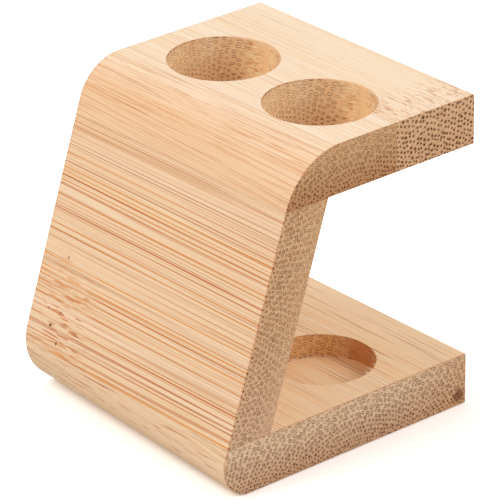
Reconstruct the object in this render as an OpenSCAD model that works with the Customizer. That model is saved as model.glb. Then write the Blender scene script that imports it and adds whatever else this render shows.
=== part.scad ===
// Toothbrush holder of glued bamboo boards: a leaning back wall between a bored top and a base with pockets.
// Units are millimetres. X runs along the grain, Y from the back wall to the open front, Z up.
// The origin is the centre of the overall box, on the surface that the holder stands on.

/* [Body] */
// Length along the grain, from one sawn end to the other
body_length = 62.7; // [56:0.1:120]
// Height from the standing surface to the top
body_height = 65.9; // [55:0.1:100]
// How far the base's free edge stays behind the top's
base_setback = 1.4; // [0:0.1:6]

/* [Boards] */
// Thickness of the top board
top_thick = 10.3; // [6:0.1:13]
// Thickness of the base board
base_thick = 10.8; // [8:0.1:16]
// Thickness of the wall board, square to its faces
wall_thick = 10; // [6:0.1:11]
// Lean of the wall away from vertical, in degrees
wall_lean = 18.35; // [8:0.05:22]
// Width of the top's strip over the wall, from the unsanded upper corner to the seam
rear_strip_width = 24.25; // [23:0.05:40]
// Width of the top's strip from the seam to the free edge
front_strip_width = 20.2; // [19:0.1:30]
// Thickness of the glue in each joint
glue_thick = 0.15; // [0.05:0.05:0.4]

/* [Sanded corners] */
// Radius of the foot corner at the +X end
foot_round_near = 6.7; // [4:0.1:12]
// Radius of the foot corner at the -X end
foot_round_far = 10.6; // [4:0.1:12]
// Radius of the upper corner at the +X end
upper_round_near = 14.4; // [8:0.1:15]
// Radius of the upper corner at the -X end
upper_round_far = 10.7; // [8:0.1:15]
// Angle at which a rounding meets the flat faces beside it, in degrees
face_break = 6; // [6:0.5:9]

/* [Brush holes] */
// Number of brush places in the row
brush_places = 2; // [1:1:2]
// Diameter of the holes and of the pockets under them
hole_diameter = 22; // [14:0.1:25]
// Distance between neighbouring hole centres
hole_spacing = 28.4; // [26:0.1:36]
// Distance from the top's free edge to the line of hole centres
hole_setback = 24.4; // [15:0.1:24.5]
// Depth of the pockets in the base
pocket_depth = 5; // [2:0.1:7]
// Easing of the hole rims on the top face, where the sanding reaches
rim_ease = 0.4; // [0.1:0.1:1]
// Easing of the corner between a pocket's wall and its floor
floor_ease = 0.3; // [0.1:0.1:1]

/* [Hidden] */
$fn = 96;
top_colour = "#F6DDB4";
front_strip_colour = "#F2D3A2";
wall_colour = "#EFCB95";
base_colour = "#EBC48C";
glue_colour = "#C9974F";

// How far a cutting shape runs past the face that it cuts
overrun = 1;

// Heights of the two joint planes, where the wall meets the base and the top
foot_joint = base_thick;
upper_joint = body_height - top_thick;

// Depths are measured from the foot line, where the wall's outer face would meet the standing surface.
// These give the depth of the wall's outer and inner face at a height.
function outer_face(height) = height * tan(wall_lean);
function inner_face(height) = outer_face(height) + wall_thick / cos(wall_lean);

// Depths of the seam, the free edges and the line of hole centres
seam_depth = outer_face(body_height) + rear_strip_width;
top_reach = seam_depth + front_strip_width;
base_reach = top_reach - base_setback;
hole_depth = top_reach - hole_setback;
hole_radius = hole_diameter / 2;

// Inner angles of the two outer corners, each between the wall's outer face and a flat face
foot_angle = 90 - wall_lean;
upper_angle = 90 + wall_lean;

// The smaller foot radius stands out furthest, which sets the back of the overall box
back_share = 1 / tan(foot_angle / 2) - 1 / cos(face_break);
back_edge = min(foot_round_near, foot_round_far) * back_share;
depth_shift = -(back_edge + top_reach) / 2;

// A side outline in depth and height, drawn along the grain from end to end
module along_grain(outline) {
    translate([-body_length / 2, 0, 0])
        rotate([90, 0, 90])
            linear_extrude(body_length)
                polygon(outline);
}

// A slab across the wall's thickness between two heights
module wall_slice(low, high) {
    along_grain([
        [outer_face(low), low],
        [inner_face(low), low],
        [inner_face(high), high],
        [outer_face(high), high]
    ]);
}

// A square-edged piece of the top between two depths
module top_slice(back, front) {
    along_grain([
        [back, upper_joint],
        [front, upper_joint],
        [front, body_height],
        [back, body_height]
    ]);
}

// What sanding takes off an outer corner whose radius changes evenly along the grain. Here X is the
// corner line and +Y halves the corner, into the wood. The rounding is a cone about the line of the
// radius centres, a hair wider than one that only touches the faces, so it crosses each of them at the
// break angle, as sanding by hand leaves it. The waste is the corner outside that cone. The block under
// the cone reaches to the plane of the two lines where a touching cone would meet the faces.
module sanded_away(corner_angle, near_radius, far_radius) {
    near_axis = near_radius / sin(corner_angle / 2);
    far_axis = far_radius / sin(corner_angle / 2);
    axis_length = norm([body_length, far_axis - near_axis]);
    flare = asin((far_radius - near_radius) / axis_length);
    cone_share = 1 / (cos(flare) * cos(face_break));
    cone_run = 2 * overrun;
    run_growth = cone_run * sin(flare) * cone_share;

    contact_share = pow(cos(corner_angle / 2), 2) / sin(corner_angle / 2);
    near_contact = near_radius * contact_share;
    far_contact = far_radius * contact_share;
    contact_length = norm([body_length, far_contact - near_contact]);
    block = 3 * max(near_radius, far_radius);

    difference() {
        translate([body_length / 2, near_contact, 0])
            rotate([0, 0, atan2(far_contact - near_contact, -body_length)])
                translate([-overrun, 0, -block / 2])
                    cube([contact_length + 2 * overrun, block, block]);
        translate([body_length / 2, near_axis, 0])
            rotate([0, 90, atan2(far_axis - near_axis, -body_length)])
                translate([0, 0, -cone_run])
                    cylinder(
                        h = axis_length + 2 * cone_run,
                        r1 = near_radius * cone_share - run_growth,
                        r2 = far_radius * cone_share + run_growth
                    );
    }
}

module foot_corner_waste() {
    rotate([foot_angle / 2, 0, 0])
        sanded_away(foot_angle, foot_round_near, foot_round_far);
}

module upper_corner_waste() {
    translate([0, outer_face(body_height), body_height])
        rotate([-upper_angle / 2, 0, 0])
            sanded_away(upper_angle, upper_round_near, upper_round_far);
}

module at_brush_places() {
    first_place = -(brush_places - 1) * hole_spacing / 2;
    for (place = [0 : brush_places - 1])
        translate([first_place + place * hole_spacing, hole_depth, 0])
            children();
}

module brush_holes() {
    at_brush_places() {
        translate([0, 0, upper_joint - overrun])
            cylinder(h = top_thick + 2 * overrun, r = hole_radius);
        translate([0, 0, body_height - rim_ease])
            cylinder(
                h = rim_ease + overrun,
                r1 = hole_radius,
                r2 = hole_radius + rim_ease + overrun
            );
    }
}

module base_pockets() {
    pocket_floor = base_thick - pocket_depth;
    straight_wall = pocket_depth - floor_ease;
    at_brush_places() {
        translate([0, 0, pocket_floor])
            cylinder(h = floor_ease, r1 = hole_radius - floor_ease, r2 = hole_radius);
        translate([0, 0, pocket_floor + floor_ease])
            cylinder(h = straight_wall + overrun, r = hole_radius);
    }
}

// Moves a piece from the foot line to the centre of the overall box
module in_place() {
    translate([0, depth_shift, 0])
        children();
}

module top_front_strip() {
    color(front_strip_colour)
        in_place()
            difference() {
                top_slice(seam_depth + glue_thick / 2, top_reach);
                brush_holes();
            }
}

module top_rear_strip() {
    strip_end = seam_depth - glue_thick / 2;
    color(top_colour)
        in_place()
            difference() {
                along_grain([
                    [outer_face(upper_joint), upper_joint],
                    [strip_end, upper_joint],
                    [strip_end, body_height],
                    [outer_face(body_height), body_height]
                ]);
                brush_holes();
                upper_corner_waste();
            }
}

module back_wall() {
    color(wall_colour)
        in_place()
            difference() {
                wall_slice(foot_joint + glue_thick, upper_joint - glue_thick);
                foot_corner_waste();
                upper_corner_waste();
            }
}

module base_board() {
    color(base_colour)
        in_place()
            difference() {
                along_grain([
                    [0, 0],
                    [base_reach, 0],
                    [base_reach, base_thick],
                    [outer_face(base_thick), base_thick]
                ]);
                base_pockets();
                foot_corner_waste();
            }
}

module top_seam_glue() {
    color(glue_colour)
        in_place()
            difference() {
                top_slice(seam_depth - glue_thick / 2, seam_depth + glue_thick / 2);
                brush_holes();
            }
}

module upper_joint_glue() {
    color(glue_colour)
        in_place()
            difference() {
                wall_slice(upper_joint - glue_thick, upper_joint);
                upper_corner_waste();
            }
}

module foot_joint_glue() {
    color(glue_colour)
        in_place()
            difference() {
                wall_slice(foot_joint, foot_joint + glue_thick);
                foot_corner_waste();
            }
}

top_front_strip();
top_rear_strip();
back_wall();
base_board();
top_seam_glue();
upper_joint_glue();
foot_joint_glue();
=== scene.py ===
# %% [markdown]
# A toothbrush holder of bare bamboo: a leaning back wall glued between a base with two pockets and a top with
# two holes over them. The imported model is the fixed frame. Every piece below stands where its solid stands,
# and everything is worked out in millimetres and turned into metres only when it becomes a mesh.

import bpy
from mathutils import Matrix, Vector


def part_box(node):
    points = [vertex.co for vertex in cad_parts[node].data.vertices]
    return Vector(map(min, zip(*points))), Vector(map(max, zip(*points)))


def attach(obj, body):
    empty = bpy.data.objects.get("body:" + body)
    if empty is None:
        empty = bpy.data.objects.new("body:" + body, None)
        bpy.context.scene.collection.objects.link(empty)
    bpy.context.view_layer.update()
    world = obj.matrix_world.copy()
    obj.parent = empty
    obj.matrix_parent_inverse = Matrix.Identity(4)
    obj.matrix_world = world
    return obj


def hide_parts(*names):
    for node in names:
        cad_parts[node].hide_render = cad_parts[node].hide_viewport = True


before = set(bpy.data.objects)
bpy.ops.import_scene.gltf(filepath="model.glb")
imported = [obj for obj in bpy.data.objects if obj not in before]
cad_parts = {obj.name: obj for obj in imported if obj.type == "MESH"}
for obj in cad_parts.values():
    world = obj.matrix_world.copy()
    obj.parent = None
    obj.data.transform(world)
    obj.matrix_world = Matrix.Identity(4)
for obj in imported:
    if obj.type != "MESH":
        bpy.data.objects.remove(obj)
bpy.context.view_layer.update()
print("nodes:", sorted(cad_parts))

# %% [markdown]
# The boards are bamboo laid edge to edge and pressed, then sawn, drilled and sanded. These are the sizes a
# maker would mark out. Depth is measured from the foot line, where the wall's outer face would meet the
# table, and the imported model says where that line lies.

# %% Sizes in millimetres
import math

import bpy
import numpy as np
from mathutils import Matrix, Vector

MM = 0.001
LENGTH, HEIGHT = 62.7, 65.9
TOP_THICK, BASE_THICK, WALL_THICK = 10.3, 10.8, 10.0
LEAN = math.radians(18.35)
REAR_STRIP, FRONT_STRIP, BASE_SETBACK = 24.25, 20.2, 1.4
GLUE = 0.15
FOOT_ROUND = {"near": 6.7, "far": 10.6}
UPPER_ROUND = {"near": 14.4, "far": 10.7}
HOLE_RADIUS, HOLE_SPACING, HOLE_SETBACK, POCKET_DEPTH = 11.0, 28.4, 24.4, 5.0
# how far sanding has eased the free edges, the sawn ends and the rims on top, and the cutter the others
FREE_EDGE_ROUND, END_EASE, RIM_EASE, DRILL_EASE, FLOOR_EASE = 0.25, 0.15, 0.4, 0.05, 0.3


def outer_face(height):
    """Depth of the wall's outer face: height times the tangent of the lean."""
    return height * math.tan(LEAN)


def inner_face(height):
    """Depth of the wall's inner face: the outer face's, plus the thickness over the cosine of the lean."""
    return outer_face(height) + WALL_THICK / math.cos(LEAN)


UPPER_JOINT = HEIGHT - TOP_THICK
SEAM = outer_face(HEIGHT) + REAR_STRIP
TOP_REACH = SEAM + FRONT_STRIP
BASE_REACH = TOP_REACH - BASE_SETBACK
FOOT_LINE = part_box("top_front_strip")[1].y / MM - TOP_REACH
HOLE_Y = TOP_REACH - HOLE_SETBACK + FOOT_LINE
print("foot line at y", round(FOOT_LINE, 3), "mm, hole centres at y", round(HOLE_Y, 3), "mm")

# %% [markdown]
# The photograph was taken with a long lens from the left of the sawn end, a little above. The camera comes
# from a fit to the holder's corners and hole outlines, and the small roll is the photographer's.

# %% Camera
CAMERA_PLACE = Vector((584.146, -494.623, 397.106)) * MM
CAMERA_AIM = Vector((1.084, 0.773, 32.000)) * MM
CAMERA_ROLL = math.radians(-0.597)
LENS, FILM = 312.56, 36.0

forward = (CAMERA_AIM - CAMERA_PLACE).normalized()
level = forward.cross(Vector((0, 0, 1))).normalized()
right = level * math.cos(CAMERA_ROLL) + level.cross(forward) * math.sin(CAMERA_ROLL)
upward = right.cross(forward)
camera_data = bpy.data.cameras.new("long_lens")
camera_data.lens, camera_data.sensor_width = LENS, FILM
camera_data.clip_start, camera_data.clip_end = 0.05, 20.0
camera = bpy.data.objects.new("long_lens", camera_data)
turn = Matrix((right, upward, -forward)).transposed().to_4x4()
camera.matrix_world = Matrix.Translation(CAMERA_PLACE) @ turn
bpy.context.collection.objects.link(camera)
bpy.context.scene.camera = camera
print("camera", round((CAMERA_AIM - CAMERA_PLACE).length, 3), "m from its aim")

# %% [markdown]
# Each board could be modelled as a box with bevels, but the real holder is glued first and sanded after, so
# its outer corners run across the glue lines. The way chosen here follows that: one side outline of the
# whole holder is carried along the grain, and the result is then sawn into boards along the joints. The
# outline is a function of the place along the grain, because the sanded corners change radius from one end
# to the other.


# %% The side outline
FOOT_STEPS, EDGE_STEPS, UPPER_STEPS = 28, 6, 36


def outline(x, inset):
    """Side outlines of the sanded holder: an array of (sections, points, depth and height) in mm.

    Two straight sides with inward normals a and b meet in a corner. Moving both in by d moves the corner by
    d (a + b) / (1 + a.b). The centre of a corner's rounding lies radius (a + b) / (1 + a.b) inside it, and
    the rounding is that centre less (radius - inset) times the normal, turned evenly from a to b.
    """
    near_share = ((x + LENGTH / 2) / LENGTH)[:, None]
    corners = [
        ((0, 0), FOOT_ROUND, FOOT_STEPS),
        ((BASE_REACH, 0), FREE_EDGE_ROUND, EDGE_STEPS),
        ((BASE_REACH, BASE_THICK), FREE_EDGE_ROUND, EDGE_STEPS),
        ((inner_face(BASE_THICK), BASE_THICK), None, 0),
        ((inner_face(UPPER_JOINT), UPPER_JOINT), None, 0),
        ((TOP_REACH, UPPER_JOINT), FREE_EDGE_ROUND, EDGE_STEPS),
        ((TOP_REACH, HEIGHT), FREE_EDGE_ROUND, EDGE_STEPS),
        ((outer_face(HEIGHT), HEIGHT), UPPER_ROUND, UPPER_STEPS),
    ]
    points = np.array([corner[0] for corner in corners], float)
    sides = np.roll(points, -1, 0) - points
    sides /= np.linalg.norm(sides, axis=1)[:, None]
    inward = np.stack([-sides[:, 1], sides[:, 0]], 1)
    parts = []
    for number, (_, rounding, steps) in enumerate(corners):
        a, b = inward[number - 1], inward[number]
        way_in = (a + b) / (1 + a @ b)
        if rounding is None:
            parts.append((points[number] + inset[:, None] * way_in)[:, None, :])
            continue
        if isinstance(rounding, dict):
            radius = rounding["far"] + (rounding["near"] - rounding["far"]) * near_share
        else:
            radius = np.full_like(near_share, rounding)
        centre = points[number] + radius * way_in
        angle = math.acos(a @ b)
        turn = np.linspace(0, 1, steps + 1)[:, None]
        normals = (np.sin((1 - turn) * angle) * a + np.sin(turn * angle) * b) / math.sin(angle)
        parts.append(centre[:, None, :] - (radius - inset[:, None])[:, :, None] * normals)
    return np.concatenate(parts, 1)


ends = np.array([-LENGTH, LENGTH]) / 2
print("outline:", outline(ends, 0 * ends).shape[1], "points")

# %% [markdown]
# A skin joins one outline to the next along the grain. The saw leaves the ends flat, and a light pass of
# paper rounds their edges, so the last sections on each side draw in by a quarter circle.


# %% The skin over the outlines
def skin(name, rings):
    """A closed mesh over rings of points in mm: quads join each ring to the next, and a face closes each end.
    The last axes are ring, point and coordinate, and an axis before them counts separate skins."""
    points = rings.shape[-2]
    index = np.arange(rings.size // 3).reshape(rings.shape[:-1])
    here, ahead = index[..., :-1, :], index[..., 1:, :]
    quads = np.stack([here, np.roll(here, -1, -1), np.roll(ahead, -1, -1), ahead], -1).reshape(-1, 4)
    ends = np.stack([index[..., 0, ::-1], index[..., -1, :]]).reshape(-1, points)
    mesh = bpy.data.meshes.new(name)
    mesh.from_pydata((rings.reshape(-1, 3) * MM).tolist(), [], quads.tolist() + ends.tolist())
    made = bpy.data.objects.new(name, mesh)
    bpy.context.collection.objects.link(made)
    return made


EASE_STEPS = 7
sweep = np.radians(np.linspace(0, 90, EASE_STEPS))
near_x, near_inset = LENGTH / 2 - END_EASE * (1 - np.sin(sweep)), END_EASE * (1 - np.cos(sweep))
section_x = np.concatenate([-near_x[::-1], near_x])
section_inset = np.concatenate([near_inset[::-1], near_inset])
side = outline(section_x, section_inset)
rings = np.concatenate([np.broadcast_to(section_x[:, None, None], side.shape[:2] + (1,)), side], 2)
rings[:, :, 1] += FOOT_LINE
whole = skin("whole_holder", rings)
print("whole holder:", side.shape[0], "sections of", side.shape[1], "points")

# %% [markdown]
# The holes and pockets were drilled with a flat-ended cutter, and sanding has eased the rims on the top face.
# The other rims are as the cutter left them. A drill is a profile turned about its axis. Each rim is a quarter
# round that stops a little short of flat, so that the drill crosses the face at an angle and the cut stays
# clean.


# %% Drills
DRILL_SIDES, RIM_TURN, RIM_STEPS = 144, 80, 7


def turned(name, x, profile):
    """A profile of (radius, height) pairs in mm, turned about the upright axis through a hole centre."""
    angle = np.linspace(0, 2 * math.pi, DRILL_SIDES, endpoint=False)
    radius, height = np.array(profile).T[:, :, None]
    place = [x + radius * np.cos(angle), HOLE_Y + radius * np.sin(angle), height + 0 * angle]
    return skin(name, np.stack(place, -1))


def rim(height, side, ease):
    """Quarter round where a hole meets a face: radius R + e (1 - cos t) at a height of e (1 - sin t) inside
    the face, with t from 0 to 80 degrees and a short straight run out of the face."""
    angle = np.radians(np.linspace(0, RIM_TURN, RIM_STEPS))
    radius = HOLE_RADIUS + ease * (1 - np.cos(angle))
    level = height - side * ease * (1 - np.sin(angle))
    past = ease * np.array([np.sin(angle[-1]), np.cos(angle[-1])])
    run = [(radius[-1] + past[0], level[-1] + side * past[1]), (radius[-1] + past[0], height + side)]
    return list(zip(radius, level)) + run


pocket_floor = BASE_THICK - POCKET_DEPTH
hole_profile = rim(UPPER_JOINT, -1, DRILL_EASE)[::-1] + rim(HEIGHT, 1, RIM_EASE)
pocket_profile = [(HOLE_RADIUS - FLOOR_EASE, pocket_floor), (HOLE_RADIUS, pocket_floor + FLOOR_EASE)]
pocket_profile += rim(BASE_THICK, 1, DRILL_EASE)
drills = [
    turned(f"{name}_{end}", x, profile)
    for end, x in (("near", HOLE_SPACING / 2), ("far", -HOLE_SPACING / 2))
    for name, profile in (("hole", hole_profile), ("pocket", pocket_profile))
]
print("drills:", [drill.name for drill in drills])

# %% [markdown]
# Sawing the whole holder along its joints gives each board the exact share of the sanded corners that the
# real board has. The joint planes lie a hair outside the flat faces that they would otherwise run along.


# %% Saw the holder into boards and glue films
HAIR, OUT, SHARP = 0.002, 100.0, math.radians(32)


def cut(target, tool, operation):
    """Leaves in the target's mesh its difference from, or its common part with, a tool."""
    modifier = target.modifiers.new("cut", "BOOLEAN")
    modifier.solver, modifier.operation, modifier.object = "EXACT", operation, tool
    shape = bpy.data.meshes.new_from_object(target.evaluated_get(bpy.context.evaluated_depsgraph_get()))
    target.modifiers.clear()
    target.data = shape
    return target


def block(low, high):
    """A box between two corners in mm, as a rectangle carried along X."""
    (x0, y0, z0), (x1, y1, z1) = low, high
    rectangle = [(y0, z0), (y1, z0), (y1, z1), (y0, z1)]
    return skin("block", np.array([[(x, y, z) for y, z in rectangle] for x in (x0, x1)]))


for drill in drills:
    cut(whole, drill, "DIFFERENCE")
seam_y = SEAM + FOOT_LINE
foot_top, upper_low = BASE_THICK + HAIR, UPPER_JOINT - HAIR
regions = {  # the two depths and the two heights between which each piece lies
    "base_board": (-OUT, OUT, -OUT, foot_top),
    "foot_joint_glue": (-OUT, OUT, foot_top, BASE_THICK + GLUE),
    "back_wall": (-OUT, OUT, BASE_THICK + GLUE, UPPER_JOINT - GLUE),
    "upper_joint_glue": (-OUT, OUT, UPPER_JOINT - GLUE, upper_low),
    "top_rear_strip": (-OUT, seam_y - GLUE / 2, upper_low, OUT),
    "top_seam_glue": (seam_y - GLUE / 2, seam_y + GLUE / 2, upper_low, OUT),
    "top_front_strip": (seam_y + GLUE / 2, OUT, upper_low, OUT),
}
pieces = {}
for node, (back, front, low, high) in regions.items():
    piece = bpy.data.objects.new("sanded_" + node, whole.data.copy())
    bpy.context.collection.objects.link(piece)
    tool = block((-OUT, back, low), (OUT, front, high))
    cut(piece, tool, "INTERSECT")
    bpy.data.objects.remove(tool)
    piece.data.shade_smooth()
    piece.data.set_sharp_from_angle(angle=SHARP)
    weighted = piece.modifiers.new("even_flats", "WEIGHTED_NORMAL")
    weighted.keep_sharp = True
    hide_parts(node)
    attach(piece, "root")
    pieces[node] = piece
    print(piece.name, len(piece.data.polygons), "faces")
for spare in drills + [whole]:
    bpy.data.objects.remove(spare)

# %% [markdown]
# Bamboo is grass, not wood. Its culm wall is soft pale tissue with dark fibre bundles running dead straight
# along it, wide apart on the inner side and packed together under the skin. One pattern therefore serves
# every face of a board if it is solid: bundles are places in the cross-section, they show as rings on the
# sawn ends and in the drilled holes, and the same bundles show as long streaks where a face runs with the
# grain. A solid pattern is a web of small sums, so the first helpers turn colours into linear light and add
# one node with its settings and links.


# %% Colours and the node helper
def linear(code):
    """The linear colour of an sRGB hex code."""
    shares = [int(code[start : start + 2], 16) / 255 for start in (1, 3, 5)]
    return tuple(s / 12.92 if s <= 0.04045 else ((s + 0.055) / 1.055) ** 2.4 for s in shares) + (1.0,)


def add(material, kind, sockets=(), **settings):
    """Adds a node with its settings, and fills its sockets in order or by name. A node or a socket is linked,
    and anything else is set as a value."""
    made = material.node_tree.nodes.new("ShaderNode" + kind)
    for key, value in settings.items():
        setattr(made, key, value)
    open_sockets = [socket for socket in made.inputs if socket.enabled]
    pairs = sockets.items() if isinstance(sockets, dict) else enumerate(sockets)
    for key, value in pairs:
        socket = made.inputs[key] if isinstance(key, str) else open_sockets[key]
        if isinstance(value, bpy.types.Node):
            value = next(out for out in value.outputs if out.enabled)
        if isinstance(value, bpy.types.NodeSocket):
            material.node_tree.links.new(value, socket)
        else:
            socket.default_value = value
    return made


def new_material(name):
    """An empty node material."""
    material = bpy.data.materials.new(name)
    material.use_nodes = True
    material.node_tree.nodes.clear()
    return material


TIMES, TIMES_PLUS, LESS = ({"operation": name} for name in ("MULTIPLY", "MULTIPLY_ADD", "SUBTRACT"))
LARGER, POSITIVE, SIZE = ({"operation": name} for name in ("MAXIMUM", "ABSOLUTE", "LENGTH"))
SMOOTH, COLOUR = {"interpolation_type": "SMOOTHSTEP"}, {"data_type": "RGBA"}
print("amber in linear light:", [round(share, 3) for share in linear("#D9A066")[:3]])

# %% [markdown]
# Two things come back in every part of the pattern: colours laid over one another, each by its share, and
# noise stretched along the grain. In all these functions m is the material that is being made.


# %% Layers of colour and stretched noise
def layered(m, colour, *layers):
    """Lays colours over the first. Each layer is a colour, as a hex code or a socket, and its shares. With s
    for the product of the shares it gives what is under it times (1 - s) plus its colour times s."""
    for over, share, *others in layers:
        for other in others:
            share = add(m, "Math", [share, other], **TIMES)
        under, over = (linear(paint) if isinstance(paint, str) else paint for paint in (colour, over))
        colour = add(m, "Mix", [share, under, over], **COLOUR)
    return colour


def grain_noise(m, place, per_mm, detail=1, roughness=0.5):
    """Noise with its own count of ups and downs per mm along u, v and w."""
    stretched = add(m, "VectorMath", [place, per_mm], **TIMES)
    return add(m, "TexNoise", {"Vector": stretched, "Scale": 1, "Detail": detail, "Roughness": roughness})


print("two helpers made: layers of colour and noise along the grain")

# %% [markdown]
# The board material first finds itself in the culm: u runs along the grain, v round the culm and w from the
# culm's inside (0) to its skin (10). Fibres wander by less than a millimetre over so short a board, so slow
# noise moves the place a little. Near a node of the culm they tangle, so quick noise stirs them there. The
# same step finds how squarely the face cuts the grain, and whether a drill has made it.

# %% Where a point lies in the culm
from types import SimpleNamespace

CULM = 10
NODE_CORE, NODE_FADE = 0.45, 10  # full strength within this share of the reach, and mm of fading round the culm
ALONG, ACROSS = 0.15, 0.62  # |normal x| up to which a face runs with the grain, and from which it cuts it
DRILLED_FROM, DRILLED_TO = HOLE_RADIUS + 0.45, HOLE_RADIUS + 0.05
RIM_FROM, RIM_TO = HOLE_RADIUS + 0.02, HOLE_RADIUS + 0.1
SPECKLE = {"Scale": 4, "Detail": 3, "Roughness": 0.7}  # four grains of tissue per mm


def find_place(m, look):
    """Where a point lies and how its face is turned, as named sockets.

    place is in mm in the culm. strayed adds noise times the look's wander, and moved adds the stir too, which
    is (noise - 0.5) times the look's stir times the node's share. end_share is 1 on a sawn end and 0 along the
    grain. drilled is 1 on a drilled wall, by the distance from the nearest hole's axis, and rim is 1 on the
    eased rim round it.
    """
    at = SimpleNamespace()
    coordinates = add(m, "TexCoord")
    at.object = coordinates.outputs["Object"]
    at.place = add(m, "Mapping", {
        "Vector": at.object, "Location": look.origin, "Rotation": (look.turn, 0, 0), "Scale": (1 / MM,) * 3,
    })
    at.u, at.v, at.w = add(m, "SeparateXYZ", [at.place]).outputs
    at.speckle = add(m, "TexNoise", {"Vector": at.place, **SPECKLE})

    # the node's share, and the fibres' places with their wander and stir
    to_node = add(m, "Math", [add(m, "Math", [at.u, look.node_at], **LESS)], **POSITIVE)
    core = NODE_CORE * look.node_reach
    near_node = add(m, "MapRange", [to_node, look.node_reach, core, 0, look.node_strength], **SMOOTH)
    low_share = add(m, "MapRange", [at.v, look.node_v, look.node_v + NODE_FADE, 1, 0])
    at.node = add(m, "Math", [near_node, low_share], **TIMES)
    wander = grain_noise(m, at.place, look.wander_rate).outputs["Color"]
    at.strayed = add(m, "VectorMath", [wander, look.wander, at.place], **TIMES_PLUS)
    quick = add(m, "TexNoise", {"Vector": at.place, "Scale": look.stir_rate, "Detail": 2})
    stir = add(m, "VectorMath", [quick.outputs["Color"], (0.5, 0.5, 0.5)], **LESS)
    stir_share = add(m, "Math", [at.node, look.stir], **TIMES)
    at.stirred = add(m, "VectorMath", {0: stir, "Scale": stir_share}, operation="SCALE")
    at.moved = add(m, "VectorMath", [at.stirred, at.strayed])
    _, at.grain_v, at.grain_w = add(m, "SeparateXYZ", [at.moved]).outputs

    # how the face is turned
    at.turned_x, at.turned_y, turned_z = add(m, "SeparateXYZ", [coordinates.outputs["Normal"]]).outputs
    at.square = add(m, "Math", [at.turned_x], **POSITIVE)
    at.end_share = add(m, "MapRange", [at.square, ALONG, ACROSS], **SMOOTH)
    at.sideways = add(m, "Math", [at.turned_y], **POSITIVE)
    level = add(m, "Math", [turned_z], **POSITIVE)
    upright = add(m, "MapRange", [level, 0.5, 0.1])

    # how near the point is to a drilled wall and its rim
    spot_x, at.spot_y, _ = add(m, "SeparateXYZ", [at.object]).outputs
    at.from_middle = add(m, "Math", [spot_x], **POSITIVE)
    off_x = add(m, "Math", [at.from_middle, HOLE_SPACING / 2 * MM], **LESS)
    off_y = add(m, "Math", [at.spot_y, HOLE_Y * MM], **LESS)
    off_axis = add(m, "VectorMath", [add(m, "CombineXYZ", [off_x, off_y, 0])], **SIZE)
    at_hole = add(m, "MapRange", [off_axis, DRILLED_FROM * MM, DRILLED_TO * MM])
    at.drilled = add(m, "Math", [at_hole, upright], **TIMES)
    off_wall = add(m, "MapRange", [off_axis, RIM_FROM * MM, RIM_TO * MM])
    sloping = add(m, "MapRange", [level, 0.98, 0.9])
    at.rim = add(m, "Math", [add(m, "Math", [at_hole, off_wall], **TIMES), sloping], **TIMES)
    return at


print("culm wall", CULM, "mm thick, hole axes", HOLE_SPACING, "mm apart")

# %% [markdown]
# In the cross-section a Voronoi texture gives one cell for each fibre bundle. Towards the skin the bundles get
# small and close, but Voronoi cells are all one size. So the section is first bent onto a fan by a conformal
# map, which shrinks the cells towards the skin and keeps them round.

# %% One cell for each fibre bundle
STAGGER, FRAY_PER_MM = 0.5, 2.2


def bundle_cells(m, at, look, sparse, dense, ring_share):
    """Finds a point's bundle, in cells from the sparse size at w = 0 to the dense size at the culm's skin.

    The fan has radius exp(rate w) / rate and angle rate v. Half of each step outwards is added sideways, so
    that neighbouring rows are staggered. Returns the place in the cell, where x points to the skin and 1 is
    the ring's radius, and the bundle's three random shares.
    """
    rate = math.log(sparse / dense) / CULM
    angle = add(m, "Math", [at.grain_v, rate], **TIMES)
    power = add(m, "Math", [at.grain_w, rate], **TIMES)
    reach = add(m, "Math", [add(m, "Math", [power], operation="EXPONENT"), 1 / rate], **TIMES)
    across = add(m, "Math", [reach, add(m, "Math", [angle], operation="COSINE")], **TIMES)
    around = add(m, "Math", [reach, add(m, "Math", [angle], operation="SINE")], **TIMES)
    staggered = add(m, "Math", [across, STAGGER, around], **TIMES_PLUS)
    fan = add(m, "CombineXYZ", [across, staggered, 0])
    grid = {"Vector": fan, "Scale": 1 / sparse, "Randomness": look.scatter}
    cell = add(m, "TexVoronoi", grid, voronoi_dimensions="2D")
    luck = add(m, "SeparateColor", [cell.outputs["Color"]]).outputs

    # the place from the cell's centre, with the stagger and the fan's turn taken out again, and a frayed edge
    offset = add(m, "SeparateXYZ", [add(m, "VectorMath", [fan, cell.outputs["Position"]], **LESS)]).outputs
    level = add(m, "Math", [offset["X"], -STAGGER, offset["Y"]], **TIMES_PLUS)
    flat = add(m, "CombineXYZ", [offset["X"], level, 0])
    own = add(m, "VectorRotate", {"Vector": flat, "Angle": angle}, rotation_type="Z_AXIS", invert=True)
    fuzz = add(m, "TexNoise", {"Vector": fan, "Scale": FRAY_PER_MM, "Detail": 2}, noise_dimensions="2D")
    half = look.fuzz / 2
    frayed = add(m, "VectorMath", [fuzz.outputs["Color"], (2 * half, 2 * half, 0), own], **TIMES_PLUS)
    centred = add(m, "VectorMath", [frayed, (half, half, 0)], **LESS)
    radius = ring_share * sparse
    scaled = add(m, "VectorMath", [centred, (1 / (radius * look.tall), look.tall / radius, 0)], **TIMES)
    size = add(m, "MapRange", [luck["Red"], 0, 1, 1.25, 0.85])
    return add(m, "VectorMath", {0: scaled, "Scale": size}, operation="SCALE"), luck


print("fibre bundles: one cell each, frayed", FRAY_PER_MM, "times per mm")

# %% [markdown]
# Cut across, a real bundle is a ring of tubes with a cap of dark fibre on its inner and its outer side, and
# near the skin it is a solid dot. Cut along, its two open tubes make hair lines, and a solid dot makes a broad
# streak, which the face need not meet squarely. All the edges below are in ring radii from the centre.

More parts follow.
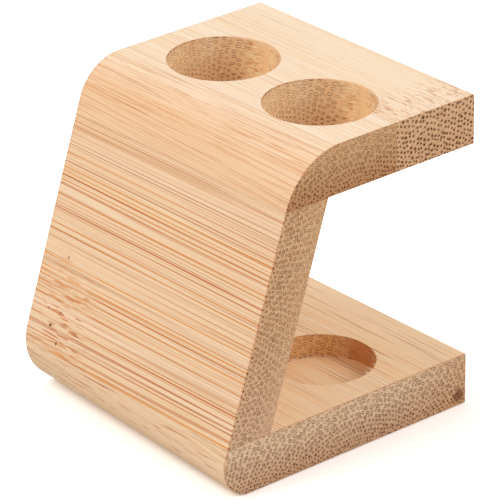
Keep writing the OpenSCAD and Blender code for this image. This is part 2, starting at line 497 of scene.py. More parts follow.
# %% Rings, dots and streaks
RING_CORE, TUBE_ASIDE, STREAK_CORE = 0.15, 0.5, 0.7
DOT_EDGE, MIDDLE_EDGE, TUBE_EDGE = (1.3, 0.75), (0.8, 0.35), (0.5, 0.15)
CAP_TURN, FLANK_TURN = (0.3, 0.85), (0.1, 0.8)
FAINT_MM, STREAK_MM = (0.5, 6), (1, 8)
DRILLED_SIDE, DRILLED_SHOWN = 0.3, 0.8


def bundles(m, at, look, sparse, dense, ring_share, fill_from):
    """The shares of dark fibre and pale middle on an end and of streak along the grain, and the bundle's hue.

    A ring's share falls with the distance from radius 1 and is less on its sides than on its caps. From
    fill_from mm outwards the ring turns into a dot. Sanded ends show the inner bundles faintly, and drilled
    walls show them all.
    """
    seen, luck = bundle_cells(m, at, look, sparse, dense, ring_share)
    distance = add(m, "VectorMath", [seen], **SIZE)
    filled = 1
    if fill_from is not None:
        filled = add(m, "MapRange", [at.grain_w, fill_from, CULM], **SMOOTH)

    # on the end grain
    heading = add(m, "SeparateXYZ", [add(m, "VectorMath", [seen], operation="NORMALIZE")]).outputs
    off_ring = add(m, "Math", [add(m, "Math", [distance, 1], **LESS)], **POSITIVE)
    ring = add(m, "MapRange", [off_ring, look.ring_wall, RING_CORE], **SMOOTH)
    skinward = add(m, "Math", [heading["X"]], **POSITIVE)
    side_wall = add(m, "MapRange", [at.drilled, 0, 1, look.side_wall, DRILLED_SIDE])
    caps = add(m, "MapRange", [skinward, *CAP_TURN, side_wall, 1])
    flank_wall = add(m, "MapRange", [at.drilled, 0, 1, look.flank, 0])
    flank = add(m, "MapRange", [heading["Y"], *FLANK_TURN, 0, flank_wall])
    bite = add(m, "Math", [ring, add(m, "Math", [caps, flank], **LARGER)], **TIMES)
    dot = add(m, "MapRange", [distance, *DOT_EDGE], **SMOOTH)
    depth = add(m, "MapRange", [at.grain_w, *FAINT_MM, look.inner_faint, 1])
    depth = add(m, "Math", [depth, add(m, "Math", [at.drilled, DRILLED_SHOWN], **TIMES)], **LARGER)
    strength = add(m, "MapRange", [luck["Green"], 0, 1, look.faint, 1])
    strength = add(m, "Math", [strength, depth], **TIMES)
    dark = add(m, "Math", [add(m, "Mix", [filled, bite, dot]), strength], **TIMES)
    inside = add(m, "MapRange", [distance, *MIDDLE_EDGE], **SMOOTH)
    hollow = add(m, "Math", [1, filled], **LESS)
    middle = add(m, "Math", [add(m, "Math", [inside, hollow], **TIMES), depth], **TIMES)

    # along the grain
    split = add(m, "SeparateXYZ", [seen]).outputs
    aside = add(m, "Math", [add(m, "Math", [split["Y"]], **POSITIVE), TUBE_ASIDE], **LESS)
    tube_distance = add(m, "VectorMath", [add(m, "CombineXYZ", [split["X"], aside, 0])], **SIZE)
    tube = add(m, "MapRange", [tube_distance, *TUBE_EDGE], **SMOOTH)
    near_core = add(m, "VectorMath", [seen, (look.streak_depth, 1, 0)], **TIMES)
    core_distance = add(m, "VectorMath", [near_core], **SIZE)
    core = add(m, "MapRange", [core_distance, look.streak_reach, STREAK_CORE * look.streak_reach])
    shown = add(m, "MapRange", [luck["Blue"], *look.shown])
    along = add(m, "Math", [add(m, "Mix", [filled, tube, core]), shown], **TIMES)
    outward = add(m, "MapRange", [at.grain_w, *STREAK_MM, look.top_streak, 1])
    along = add(m, "Math", [along, outward], **TIMES)
    return {"dark": dark, "middle": middle, "along": along, "hue": luck["Red"]}


print("a bundle's dot reaches", DOT_EDGE[0], "ring radii")

# %% [markdown]
# A sawn end is soft tissue with a fine speckle, with the bundles laid over it. A drilled wall is the same cut,
# but the drill has left it paler, so it has colours of its own. It could be a second material, but then its
# rings would not meet those of the face beside it. One corner of the base's end carries a dark stain.

# %% Sawn ends and drilled walls
SKIN_MM, BORED_SKIN = (3, CULM), 0.35
PALE_SANDED, PALE_BORED = 0.6, 0.9
STAIN_FRAY, STAIN_CORE, STAIN_COLOUR = 3.2, 0.4, "#63301F"


def end_grain(m, look, at, marks):
    """The colour across the grain: tissue, then the pale middles, then the dark fibre, each by its share.

    Tissue browns towards the skin and drifts to another tone along v. On the wall that drift is painted bounce
    light from the floor, paler and greyer towards the foot. The stain is a round patch whose distance is frayed
    by the speckle, and it shows on the +X end only.
    """
    speckle = add(m, "MapRange", [at.speckle, 0.36, 0.64])
    skinward = add(m, "MapRange", [at.grain_w, *SKIN_MM, 0, look.skin_tint])
    # along v the tissue drifts to another tone; on the wall this is painted bounce light from the floor, paler
    # and greyer towards the foot
    drift_from, drift_to, tone_drift_and_bounce_share, tone_drift_and_bounce_colour = look.drift
    drift = add(m, "MapRange", [at.v, drift_from, drift_to, 0, tone_drift_and_bounce_share])
    bored_skin = add(m, "MapRange", [at.grain_w, *SKIN_MM, 0, BORED_SKIN])
    bored_dark, bored_light = look.drilled
    bored = layered(m, bored_dark, (bored_light, speckle), (look.skin_colour, bored_skin))
    tissue = layered(
        m, look.end_dark, (look.end_light, speckle), (look.skin_colour, skinward), (tone_drift_and_bounce_colour, drift),
        (bored, at.drilled),
    )
    pale_share = add(m, "MapRange", [at.drilled, 0, 1, PALE_SANDED, PALE_BORED])
    pale = layered(m, look.end_pale, (look.bored_pale, at.drilled))
    contrast = add(m, "MapRange", [at.drilled, 0, 1, look.end_contrast, look.hole_contrast])
    dark = layered(m, look.bundle_end, (look.bundle_bored, at.drilled))
    colour = layered(m, tissue, (pale, marks["middle"], pale_share), (dark, marks["dark"], contrast))
    if look.stain:
        stain_v, stain_w, radius, share = look.stain
        away = add(m, "VectorMath", [add(m, "CombineXYZ", [at.v, at.w, 0]), (stain_v, stain_w, 0)], **LESS)
        fray = (STAIN_FRAY, STAIN_FRAY, 0)
        away = add(m, "VectorMath", [at.speckle.outputs["Color"], fray, away], **TIMES_PLUS)
        away = add(m, "VectorMath", [away, (STAIN_FRAY / 2, STAIN_FRAY / 2, 0)], **LESS)
        away = add(m, "VectorMath", [away], **SIZE)
        stained = add(m, "MapRange", [away, radius, STAIN_CORE * radius, 0, share])
        near_end = add(m, "MapRange", [at.turned_x, 0.5, 0.9])
        colour = layered(m, colour, (STAIN_COLOUR, stained, near_end))
    return colour


print("tissue speckle:", SPECKLE["Scale"], "per mm")

# %% [markdown]
# Along the grain the board shows broad pale bands, streaks where bundles surface, and clusters of very fine
# lines. Each is noise that hardly changes along u, so it needs no marks of its own. At the node the streaks
# break up into short dashes, and under the wall's upper joint they are calm.

# %% Faces that run with the grain
BAND_PER_MM, PATCH_PER_MM, DASH_PER_MM = (0.01, 0.4, 0.4), 1.1, (0.2, 2.2, 2.2)
FINE_PER_MM, CLUSTER_PER_MM = 0.012, (0.015, 0.3, 0.3)
STREAK_AT_NODE = 0.45


def streaks(m, look, at, marks):
    """The share of streak: whole streaks in patches, or broken dashes at the node, whichever is more."""
    patches = grain_noise(m, at.moved, (look.patch_rate, PATCH_PER_MM, PATCH_PER_MM))
    calm_from, calm_to, calm_share = look.calm
    whole = marks["along"]
    for span in (
        [patches, 0.42, 0.6, look.patch_low, 1],
        [at.node, 0, 1, 1, STREAK_AT_NODE],
        [at.v, calm_from, calm_to, 1, calm_share],
    ):
        whole = add(m, "Math", [whole, add(m, "MapRange", span)], **TIMES)
    broken = grain_noise(m, at.strayed, DASH_PER_MM)
    dash = add(m, "Math", [add(m, "MapRange", [broken, 0.53, 0.6, 0, look.dashes]), at.node], **TIMES)
    return add(m, "Math", [add(m, "Math", [whole, dash], **LARGER), look.streak], **TIMES)


def long_grain(m, look, at, marks, streak):
    """The colour along the grain: bands, browner towards the skin and on upright faces, then streaks, then
    fine lines in clusters. Also returns the colour without the lines."""
    bands = grain_noise(m, at.strayed, BAND_PER_MM, 4, 0.65)
    light = add(m, "MapRange", [bands, 0.35, 0.65])
    browned = add(m, "MapRange", [at.grain_w, *look.browned, 0, look.skin_tint])
    not_pale = add(m, "MapRange", [bands, 0.4, 0.6, 1, 0.4])
    # the ground is warmer and darker on faces that look sideways: painted shade
    ground = layered(
        m, look.long_dark, (look.long_light, light), (look.long_skin, browned, not_pale),
        (look.side_colour, at.sideways, look.side),
    )
    reddish, yellowish = look.streak_colours
    streak_colour = layered(m, reddish, (yellowish, marks["hue"]))
    fine = grain_noise(m, at.moved, (FINE_PER_MM, look.fine_rate, look.fine_rate), 1, 0.4)
    line = add(m, "MapRange", [fine, 0.56, 0.64], **SMOOTH)
    cluster = add(m, "MapRange", [grain_noise(m, at.strayed, CLUSTER_PER_MM, 0), 0.4, 0.58, 0.2, 1])
    at_skin = add(m, "MapRange", [at.grain_w, *look.browned, 1, look.skin_lines])
    fine_layer = (look.fine_colour, line, cluster, look.fine, at_skin)
    return layered(m, ground, (streak_colour, streak), fine_layer), ground


print("fine lines keep their place for", round(1 / FINE_PER_MM), "mm along the grain")

# %% [markdown]
# A sanded corner cuts the fibres at a slant, because its radius changes from end to end. So the lines on it
# follow the corner and not the grain. Turning the whole pattern there would break it at the corner's edge, so
# lines of the corner's own are laid over it instead, where the face has begun to turn.

# %% Lines round the sanded corners
ARC_PER_MM, ARC_ALONG_PER_MM, ARC_CLEARED = 4.2, 0.014, 0.8
ARC_PALE, ARC_DARK = (0.44, 0.36, 0, 0.35), (0.53, 0.61, 0, 0.45)


def corner_lines(m, look, at, lined, ground):
    """Pale and dark lines that keep to one angle round the corner's own axis.

    The axis lies radius times the way in from the corner, and the radius is its middle value plus growth times
    x. The angle is the arctangent of the height over the depth from the axis, and times the middle radius it
    is a length of arc in mm.
    """
    (corner_y, corner_z), (in_y, in_z), rounding = look.corner
    middle_radius = (rounding["near"] + rounding["far"]) / 2
    growth = (rounding["near"] - rounding["far"]) / LENGTH
    from_corner = add(m, "VectorMath", [at.object, (1 / MM,) * 3], **TIMES)
    from_corner = add(m, "VectorMath", [from_corner, (0, corner_y, corner_z)], **LESS)
    along_x, off_y, off_z = add(m, "SeparateXYZ", [from_corner]).outputs
    radius = add(m, "Math", [along_x, growth, middle_radius], **TIMES_PLUS)
    off_y = add(m, "Math", [radius, in_y, add(m, "Math", [off_y, -1], **TIMES)], **TIMES_PLUS)
    off_z = add(m, "Math", [radius, -in_z, off_z], **TIMES_PLUS)
    around = add(m, "Math", [off_z, off_y], operation="ARCTAN2")
    arc = add(m, "Math", [around, ARC_PER_MM * middle_radius], **TIMES)
    arc_place = add(m, "CombineXYZ", [add(m, "Math", [along_x, ARC_ALONG_PER_MM], **TIMES), arc, 0])
    arcs = add(m, "TexNoise", {"Vector": arc_place, "Scale": 1, "Detail": 2, "Roughness": 0.6})
    rounded = add(m, "MapRange", [at.turned_y, -0.03, -0.2])
    pale, dark = (add(m, "MapRange", [arcs, *span]) for span in (ARC_PALE, ARC_DARK))
    pale_colour, dark_colour = look.arc_colours
    return layered(
        m, lined, (ground, rounded, ARC_CLEARED), (pale_colour, pale, rounded), (dark_colour, dark, rounded)
    )


print("corner lines:", ARC_PER_MM, "per mm of arc")

# %% [markdown]
# Two small marks lie over the lines. Sanding tears out single fibres, which leaves hair lines, and the node
# has pin knots: dark specks where a side shoot began. The specks stand where the real wall has them.

# %% Hair lines and pin knots
HAIR_SPAN, SPECK_EDGE, SPECK_STIR = 0.05, (1.3, 0.4), (0.3, 0.3, 0)


def hair_lines(m, look, at, colour):
    """Lays thin lines over a colour, where stretched noise passes a threshold."""
    hair = grain_noise(m, at.moved, (look.hair_rate, look.hair_across, look.hair_across), 1, 0.4)
    line = add(m, "MapRange", [hair, look.hair_from, look.hair_from + HAIR_SPAN, 0, look.hair])
    at_node = add(m, "MapRange", [at.node, 0, 1, look.hair_away, 1])
    at_skin = add(m, "MapRange", [at.grain_w, *look.browned, 1, look.skin_hair])
    return layered(m, colour, (look.hair_colour, line, at_node, at_skin))


def pin_knots(m, look, at, colour):
    """Lays specks over a colour, each (u, v, half length, half width, share, colour). A speck's share falls
    with the distance from its centre, measured in its own half length and half width."""
    on_face = add(m, "CombineXYZ", [at.u, at.v, 0])
    for u, v, half_length, half_width, share, code in look.specks:
        away = add(m, "VectorMath", [on_face, (u, v, 0)], **LESS)
        away = add(m, "VectorMath", [at.stirred, SPECK_STIR, away], **TIMES_PLUS)
        away = add(m, "VectorMath", [away, (1 / half_length, 1 / half_width, 0)], **TIMES)
        away = add(m, "VectorMath", [away], **SIZE)
        colour = layered(m, colour, (code, add(m, "MapRange", [away, *SPECK_EDGE, 0, share], **SMOOTH)))
    return colour


print("specks fade out at", SPECK_EDGE[0], "of their half width")

# %% [markdown]
# A drill cuts cleanly across fibres and tears those that it meets side on. So where a drilled wall turns along
# the grain it is plain tissue with short flakes, pale over dark as painted highlight and shade, and beside the
# seam it is splintered. The edges that the paper or the drill has rubbed are a deeper tan.

# %% What drill and paper have done
FLAKE_PER_MM, FLAKE_MM, FLAKE_SHARE = (0.6, 0.2, 3.2), 0.3, 0.6
SPLINTER_PER_MM, SPLINTER_MM, SPLINTER_COLOUR = (2.4, 2.4, 4.5), (2.2, 0.6), "#FFF0DA"
END_BAND_MM = (0.5, 0.1)


def drill_wear(m, look, at, mixed):
    """Lays the torn tissue, its flakes and the seam's splinters over a colour, and returns the flakes' height
    in mm as well. Flakes lie where |normal x| is between about 0.1 and 0.4."""
    along = add(m, "MapRange", [at.end_share, 0, 0.6, 1, 0])
    mixed = layered(m, mixed, (look.bored_long, at.drilled, along))
    torn = grain_noise(m, at.place, FLAKE_PER_MM)
    torn_from = add(m, "MapRange", [at.square, 0.04, 0.16])
    torn_to = add(m, "MapRange", [at.square, 0.5, 0.36])
    torn_part = add(m, "Math", [add(m, "Math", [torn_from, torn_to], **TIMES), at.drilled], **TIMES)
    # the flakes are real torn fibres with relief; their dark and pale colours are painted shade and highlight
    for code, span in zip(look.torn_colours, ((0.43, 0.36), (0.56, 0.64))):
        flake = add(m, "MapRange", [torn, *span, 0, FLAKE_SHARE], **SMOOTH)
        mixed = layered(m, mixed, (code, flake, torn_part))

    off_seam = add(m, "Math", [add(m, "Math", [at.spot_y, seam_y * MM], **LESS)], **POSITIVE)
    wide, narrow = (reach * MM for reach in SPLINTER_MM)
    at_seam = add(m, "MapRange", [off_seam, wide, narrow, 0, look.splinters])
    at_seam = add(m, "Math", [at_seam, add(m, "MapRange", [at.grain_w, 3.5, 6, 1, 0.15])], **TIMES)
    splinter = add(m, "MapRange", [grain_noise(m, at.place, SPLINTER_PER_MM), 0.54, 0.62])
    mixed = layered(m, mixed, (SPLINTER_COLOUR, splinter, at_seam, at.drilled))
    return mixed, add(m, "Math", [add(m, "Math", [torn, torn_part], **TIMES), FLAKE_MM], **TIMES)


def rubbed_edges(m, look, at, mixed):
    """Multiplies a colour by a tan on the rounded edge of the sawn ends, broken by the speckle, and on the
    drilled rims, whichever is more."""
    at_end = add(m, "MapRange", [at.from_middle, *((LENGTH / 2 - band) * MM for band in END_BAND_MM)])
    for span in ([at.square, 0.98, 0.9], [at.speckle, 0.4, 0.6, 0, look.end_rubbed]):
        at_end = add(m, "Math", [at_end, add(m, "MapRange", span)], **TIMES)
    rubbed = add(m, "Math", [at_end, add(m, "Math", [at.rim, look.rim_rubbed], **TIMES)], **LARGER)
    return add(m, "Mix", [rubbed, mixed, linear(look.rubbed_colour)], **COLOUR, blend_type="MULTIPLY")


print("splinters within", SPLINTER_MM[0], "mm of the seam")

# %% [markdown]
# Now the parts come together. It could be one texture for the sawn ends and another for the long faces, but
# then a streak would not meet its own bundle at the edge. Here both are cuts through one solid pattern, and
# only the colour and the strength depend on how squarely the face cuts the grain. Sanded bamboo without a
# finish is dull, with hardly any gloss, and a little rougher on its ends.

# %% Bamboo
ROUGH_ALONG, ROUGH_ACROSS, DRILLED_RELIEF = 0.55, 0.75, 0.3


def bamboo(look):
    """A solid bamboo material. The look holds the board's place in the culm, its cell sizes and its colours.

    Its relief in mm is (pale middles - dark fibre) times the end relief across the grain, minus the streaks
    times the long relief along it, and plus the flakes on torn walls.
    """
    m = new_material(look.name)
    at = find_place(m, look)
    marks = bundles(m, at, look, *look.cells)
    if look.node_cells:
        packed = bundles(m, at, look, *look.node_cells)
        marks = {part: add(m, "Mix", [at.node, marks[part], packed[part]]) for part in marks}
    streak = streaks(m, look, at, marks)
    along, ground = long_grain(m, look, at, marks, streak)
    if look.corner:
        along = corner_lines(m, look, at, along, ground)
    along = hair_lines(m, look, at, along)
    if look.specks:
        along = pin_knots(m, look, at, along)
    mixed = layered(m, along, (end_grain(m, look, at, marks), at.end_share))
    mixed, flake_height = drill_wear(m, look, at, mixed)

    relief = add(m, "MapRange", [at.drilled, 0, 1, look.end_relief, DRILLED_RELIEF * look.end_relief])
    proud = add(m, "Math", [marks["middle"], marks["dark"]], **LESS)
    end_height = add(m, "Math", [proud, relief], **TIMES)
    grooves = add(m, "Math", [streak, -look.long_relief], **TIMES)
    height = add(m, "Math", [add(m, "Mix", [at.end_share, grooves, end_height]), flake_height])
    bump = add(m, "Bump", {"Height": height, "Distance": MM, "Strength": 1})
    rough = add(m, "MapRange", [at.end_share, 0, 1, ROUGH_ALONG, ROUGH_ACROSS])
    surface = add(m, "BsdfPrincipled", {
        "Base Color": rubbed_edges(m, look, at, mixed), "Roughness": rough, "Normal": bump, "IOR": 1.5,
        "Specular IOR Level": 0.1,
    })
    add(m, "OutputMaterial", {"Surface": surface})
    return m


print("roughness", ROUGH_ALONG, "along the grain and", ROUGH_ACROSS, "across it")

# %% [markdown]
# Each board came from its own piece of culm, so each has a look of its own over what they share. Some looks
# also carry painted light: the wall's ends pale towards the foot for bounce light from the floor, and the
# base's ground is paler and warmer and its pockets darker for the light and shade under the top. Sizes are in
# millimetres of real bamboo, counts are per millimetre and the rest are shares from 0 to 1. They were matched
# to the real holder board by board: dark, middle and bright tones of every face, bundle spacing on the ends,
# and width and number of the lines.

# %% The looks of the four boards
board = dict(
    # the board's place in the culm, and how far its fibres wander
    turn=math.radians(180), origin=(0, 0, 0), wander_rate=(0.008, 0.06, 0.06), wander=(0, 0.8, 0.5),
    # the node of the culm: its place, reach, strength, upper edge, own cells, and how it stirs the fibres
    node_at=0, node_reach=1, node_strength=0, node_v=100, node_cells=None, stir=0, stir_rate=0.3,
    # the bundles: size of the sparse and the dense cells, ring's share of a cell, and mm from which it fills
    cells=(1.25, 0.82, 0.25, 3),
    # how freely the bundles lie, how they fray, and the shape and strength of their rings
    scatter=0.38, fuzz=0.24, tall=0.96, ring_wall=0.68, side_wall=0.55, flank=0.8, faint=0.7, inner_faint=0.55,
    # sawn ends: (from, to, share, colour) of the drift along v, which on the wall is painted bounce light from
    # the floor, and (v, w, radius, share) of a stain
    end_dark="#BF8A5C", end_light="#EFC79C", end_pale="#F4D6AC", bundle_end="#602804", end_contrast=0.95,
    skin_tint=0.6, skin_colour="#AE7042", drift=(36, 8, 0, "#DEBA9C"), stain=None,
    # drilled walls, whose torn flakes are painted dark and pale as their shade and highlight
    drilled=("#E3AE77", "#FFE3B8"), bored_pale="#FFEBCB", bored_long="#F8D09D", bundle_bored="#8A4A20",
    hole_contrast=0.75, torn_colours=("#C07A40", "#FFEAC2"), splinters=0.7,
    # ground along the grain, browned between two depths towards the skin, and painted shade on faces that look
    # sideways
    long_dark="#F7D8B4", long_light="#FCE6CB", long_skin="#E9A368", browned=(0.2, 4),
    side=0.8, side_colour="#F6C78F",
    # streaks, and (from, to, share) of where they are calm along v
    streak=0.8, streak_colours=("#CE7F48", "#E2A260"), shown=(0.2, 0.6), streak_reach=1, streak_depth=1,
    top_streak=0.25, dashes=0, patch_rate=0.025, patch_low=0.25, calm=(0, 1, 1),
    # fine lines, hair lines, corner lines and specks
    fine=0.35, fine_rate=2.6, fine_colour="#D9A27A", skin_lines=1,
    hair=0.5, hair_rate=0.02, hair_across=4.5, hair_from=0.63, hair_away=1, skin_hair=1,
    hair_colour="#CC8450", corner=None, specks=(),
    # rubbed edges, and relief in mm
    end_rubbed=0.75, rim_rubbed=0.3, rubbed_colour="#D8935E", end_relief=0.04, long_relief=0.004,
)
upper_corner = (FOOT_LINE + outer_face(HEIGHT), HEIGHT), (math.cos(LEAN) / (1 + math.sin(LEAN)), -1)
foot_corner = (FOOT_LINE, 0), (math.cos(LEAN) / (1 - math.sin(LEAN)), 1)
looks = {
    "top_rear_strip": board | dict(
        name="bamboo_sanded_top",
        origin=(0, 0, HEIGHT), scatter=0.5, end_dark="#C08958", end_light="#E7BD90", long_skin="#F2B482",
        side=0.7, side_colour="#F4C696", fine=0.22, fine_colour="#DC9464", skin_lines=2,
        hair=0.65, hair_across=6, hair_from=0.625,
        corner=(*upper_corner, UPPER_ROUND), arc_colours=("#FFE6C6", "#D07C46"),
    ),
    "base_board": board | dict(
        name="bamboo_sanded_base",
        origin=(0, 0, BASE_THICK), scatter=0.45, cells=(1.25, 0.82, 0.265, 3), inner_faint=0.7,
        end_dark="#CBA27A", end_light="#FFDFBC", bundle_end="#662A06", skin_tint=0.45,
        drift=(-14, -30, 0.5, "#DCA674"), stain=(-28.5, 8.6, 1.9, 0.75),
        # the pocket walls are darker and redder than the holes in the top: painted shade in the pockets under
        # the top board
        drilled=("#D89E66", "#F8D09A"), bored_pale="#FFD6A4", bored_long="#D89C6C", bundle_bored="#6E3414",
        hole_contrast=0.85, torn_colours=("#9A5C30", "#E0A672"), splinters=0,
        # the base's ground is paler and warmer than the other boards': painted warm bounce light under the top
        # board
        long_dark="#FFD8A9", long_light="#FFE6C3", long_skin="#DCB48C", browned=(5.5, 9),
        side=0.7, side_colour="#EDC79F", streak=0.2, fine=0.16, fine_colour="#D89A66",
        hair=1, hair_rate=0.035, hair_across=5, hair_from=0.65, skin_hair=0, hair_colour="#BC6A3E",
        corner=(*foot_corner, FOOT_ROUND), arc_colours=("#F6DDBC", "#B88A60"),
    ),
    "top_front_strip": board | dict(
        name="bamboo_sanded_dense_strip",
        origin=(0, 0, HEIGHT), node_at=LENGTH / 2 + 2, node_reach=17, node_strength=1,
        node_cells=(1.1, 0.9, 0.29, None), stir=0.8, stir_rate=0.28, scatter=0.42, faint=0.8, inner_faint=0.9,
        end_dark="#C69268", end_light="#F0C89C", skin_tint=0.15, fine=0.22,
        hair=0.8, hair_rate=0.26, hair_from=0.59, hair_away=0.15, hair_colour="#BC7048",
    ),
    "back_wall": board | dict(
        name="bamboo_sanded_wall",
        turn=LEAN - math.pi / 2, origin=(0, -FOOT_LINE * math.sin(LEAN), CULM + FOOT_LINE * math.cos(LEAN)),
        node_at=-21, node_reach=9, node_strength=1, node_v=24, stir=0.22, stir_rate=0.35,
        cells=(1.35, 0.95, 0.245, 8.5), tall=1, side_wall=0.75, flank=0, inner_faint=0.42,
        # the drift here is painted bounce light from the floor: the ends turn paler and greyer towards the foot
        bundle_end="#783806", end_contrast=0.85, skin_tint=0, drift=(36, 8, 0.6, "#DEBA9C"),
        long_dark="#F2CBA0", long_light="#F7D7B4", side=0,
        streak=0.95, streak_colours=("#CA6A2E", "#EA9C4A"), shown=(-0.3, 0.5), streak_reach=0.95,
        streak_depth=0.45, dashes=0.85, patch_rate=0.02, patch_low=0.7, calm=(48, 56.5, 0.3),
        fine=0.5, fine_rate=3.2, fine_colour="#C08658",
        hair=0.75, hair_rate=0.01, hair_from=0.6, hair_colour="#C0703C",
        specks=(
            (-23.9, 31.1, 0.28, 0.28, 0.85, "#6A3C1E"), (-26.3, 19.9, 0.14, 0.26, 0.85, "#5E3216"),
            (-22.5, 20.1, 0.24, 0.26, 0.85, "#6A3C1E"), (-24.7, 16.8, 0.4, 0.4, 1, "#6E3C20"),
            (-21.9, 13.9, 0.26, 0.42, 1, "#6E3C20"), (27.5, 6.3, 0.2, 0.2, 0.7, "#6A3C1E"),
            (-20.6, 23.4, 1.5, 0.22, 0.5, "#B0603A"), (-20.9, 17.8, 1.3, 0.3, 0.55, "#A9634A"),
            (-17.1, 17.3, 1.4, 0.25, 0.55, "#A8623E"), (-16.3, 14.2, 1.3, 0.2, 0.6, "#A65A40"),
        ),
    ),
}
for node, look in looks.items():
    pieces[node].data.materials.clear()
    pieces[node].data.materials.append(bamboo(SimpleNamespace(**look)))
    print(look["name"], "on", pieces[node].name)

# %% [markdown]
# The glue is a hardened film as thin as paper, sanded flush with the boards. Its tone is so near the bamboo's
# that it hardly shows, and a faint cloudiness is where the wood has drawn it in. Only where the saw has cut
# across it is it a little darker. Clear gloss would be wrong, since this glue dries dull.

# %% Glue
GLUE_CLOUDS_PER_M, SAWN_GLUE_MM, SAWN_GLUE_COLOUR = 900, (0.6, 0.2), "#C2905F"


def hardened_glue(name, dark, light):
    """A dull film between two tones by noise, and darker within half a millimetre of the sawn ends."""
    glue = new_material(name)
    place = add(glue, "TexCoord").outputs["Object"]
    spot = add(glue, "TexNoise", {"Vector": place, "Scale": GLUE_CLOUDS_PER_M, "Detail": 2})
    from_middle = add(glue, "Math", [add(glue, "SeparateXYZ", [place]).outputs["X"]], **POSITIVE)
    sawn = add(glue, "MapRange", [from_middle, *((LENGTH / 2 - band) * MM for band in SAWN_GLUE_MM)])
    film = layered(glue, dark, (light, spot), (SAWN_GLUE_COLOUR, sawn))
    dull = add(glue, "BsdfPrincipled", {"Base Color": film, "Roughness": 0.45, "IOR": 1.48})
    add(glue, "OutputMaterial", {"Surface": dull})
    return glue


joint_glue = hardened_glue("hardened_wood_glue_in_joints", "#D5A876", "#E8C096")
seam_glue = hardened_glue("hardened_wood_glue_in_seam", "#DFB07C", "#F2C798")
glues = {"top_seam_glue": seam_glue, "upper_joint_glue": joint_glue, "foot_joint_glue": joint_glue}
for node, glue in glues.items():
    pieces[node].data.materials.clear()
    pieces[node].data.materials.append(glue)

# %% [markdown]
# Where the cutter left the wood along the grain it has torn a few fibres, which stand out of the rims as small
# pale tufts. Hair particles would do, but each fibre is only a tapered round thread, so one array of rings
# makes them all.


# %% Torn fibres at the rims
THREAD_RADIUS, THREAD_STATIONS, THREAD_SIDES = 0.05, 7, 6
SINK, SPREAD = 0.08, 0.012


def tufts(name, centre_x, rim_radius, level, clusters):
    """Tapered threads that start on a rim, as one closed mesh. Each cluster is (degrees round the rim, count
    of threads, longest thread in mm).

    A thread runs inwards by its length l and upwards by l (0.8 s - 0.35 s s), and its side drift is set by its
    rank in the tuft. Its radius shrinks as 1 - 0.85 s, where s goes from 0 at the rim to 1 at the tip.
    """
    rows = [(angle, reach, rank) for angle, count, reach in clusters for rank in np.linspace(-1, 1, count)]
    angle, reach, rank = np.array(rows).T
    azimuth, length = np.radians(angle) + SPREAD * rank, reach * (1 - 0.35 * np.abs(rank) ** 1.5)
    s = np.linspace(0, 1, THREAD_STATIONS)[None, :]
    out = np.stack([np.cos(azimuth), np.sin(azimuth), 0 * azimuth], -1)
    aside = np.stack([-np.sin(azimuth), np.cos(azimuth), 0 * azimuth], -1)
    drift = 0.6 * rank[:, None] * length[:, None] * s**1.5
    rise = length[:, None] * (0.8 * s - 0.35 * s * s) - SINK
    inward = rim_radius + THREAD_RADIUS - length[:, None] * s
    middle = inward[:, :, None] * out[:, None, :] + drift[:, :, None] * aside[:, None, :]
    middle = middle + rise[:, :, None] * np.array([0, 0, 1]) + np.array([centre_x, HOLE_Y, level])
    turn = np.linspace(0, 2 * math.pi, THREAD_SIDES, endpoint=False)[::-1]
    thick = THREAD_RADIUS * (1 - 0.85 * s)[:, :, None, None]
    around = np.cos(turn)[:, None] * aside[:, None, None, :] + np.sin(turn)[:, None] * np.array([0, 0, 1])
    tuft = skin(name, middle[:, :, None, :] + thick * around)
    tuft.data.shade_smooth()
    tuft.data.materials.append(fibre)
    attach(tuft, "root")
    print(name, len(rank), "threads")


# bare fibre is nearly white and dull, with a faint change of tone from thread to thread
fibre = new_material("torn_bamboo_fibre")
thread_place = add(fibre, "TexCoord").outputs["Object"]
streaky = add(fibre, "TexNoise", {"Vector": thread_place, "Scale": 2500.0, "Detail": 1.0})
cream = layered(fibre, "#F6E2C0", ("#FFF8EA", streaky))
thread = add(fibre, "BsdfPrincipled", {"Base Color": cream, "Roughness": 0.6, "IOR": 1.5})
add(fibre, "OutputMaterial", {"Surface": thread})
half_row = HOLE_SPACING / 2
pocket_tufts = [(24, 4, 1.2), (15.5, 4, 1.1), (36, 3, 0.7), (9, 2, 0.45)]
hole_tufts = [(-17, 3, 0.5), (-22, 3, 0.4)]
tufts("torn_fibres_near_pocket", half_row, HOLE_RADIUS, BASE_THICK, pocket_tufts)
tufts("torn_fibres_far_hole", -half_row, HOLE_RADIUS, HEIGHT - RIM_EASE, hole_tufts)

# %% [markdown]
# The photograph has a white ground and soft light from all sides. The world gives most of the light. A wide
# lamp on the left makes the wall and the top brighter than the sawn end, and a second one on the right fills
# the base and the holes. The floor is painted white. Its paint and the world show white to the camera by
# Light Path, so that no extra light is needed for a white ground and the floor keeps the holder's shadow.

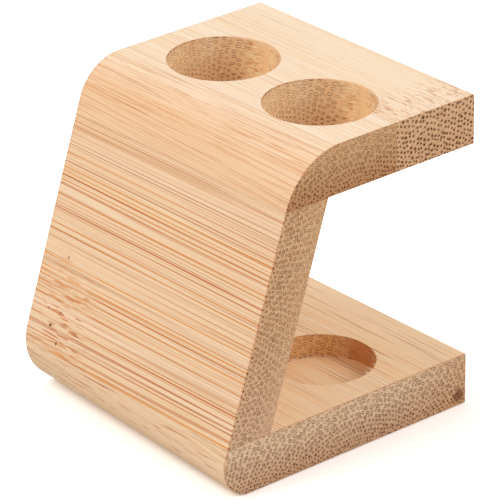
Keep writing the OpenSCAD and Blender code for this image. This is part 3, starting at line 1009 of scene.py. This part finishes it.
# %% Floor, world and lamps
FLOOR_HALF, FLOOR_DEPTH, FLOOR_GAP = 3000, 20, 0.05
floor = block((-FLOOR_HALF, -FLOOR_HALF, -FLOOR_DEPTH), (FLOOR_HALF, FLOOR_HALF, -FLOOR_GAP))
floor.name = floor.data.name = "studio_floor"
paint = new_material("white_studio_paint")
rays = add(paint, "LightPath")
floor_place = add(paint, "TexCoord").outputs["Object"]
grit = add(paint, "TexNoise", {"Vector": floor_place, "Scale": 400.0, "Detail": 2.0})
pale = layered(paint, (0.80, 0.80, 0.80, 1), ((0.82, 0.82, 0.82, 1), grit))
seen = layered(paint, pale, ((1.45, 1.45, 1.45, 1), rays.outputs["Is Camera Ray"]))
add(paint, "OutputMaterial", {"Surface": add(paint, "BsdfDiffuse", {"Color": seen})})
floor.data.materials.append(paint)

WORLD_LEVEL = 0.55
world = bpy.data.worlds.new("studio_world")
bpy.context.scene.world = world
world.use_nodes = True
world.node_tree.nodes.clear()
rays = add(world, "LightPath")
shown = add(world, "Math", [rays.outputs["Is Camera Ray"], rays.outputs["Is Glossy Ray"]], **LARGER)
shown = add(world, "Math", [shown, rays.outputs["Is Transmission Ray"]], **LARGER)
world_level = add(world, "Mix", [shown, WORLD_LEVEL, 1.0])
white = add(world, "Background", {"Color": (1, 1, 1, 1), "Strength": world_level})
add(world, "OutputWorld", {"Surface": white})


def soft_lamp(name, place, size, level):
    """A square lamp in mm aimed at the holder. Its power makes a white face turned to it that bright:
    power = level pi^2 distance^2."""
    data = bpy.data.lights.new(name, "AREA")
    data.size = size * MM
    lamp = bpy.data.objects.new(name, data)
    way = Vector(place) * MM - Vector((0, 0, HEIGHT / 2)) * MM
    lamp.location = Vector(place) * MM
    lamp.rotation_euler = way.to_track_quat("Z", "Y").to_euler()
    data.energy = level * math.pi**2 * way.length_squared
    bpy.context.collection.objects.link(lamp)
    print(name, round(data.energy, 2), "W")


soft_lamp("left_softbox", (-250, -520, 620), 500, 0.45)
soft_lamp("right_softbox", (480, 380, 540), 500, 0.32)
bpy.context.scene.view_settings.view_transform = "Standard"
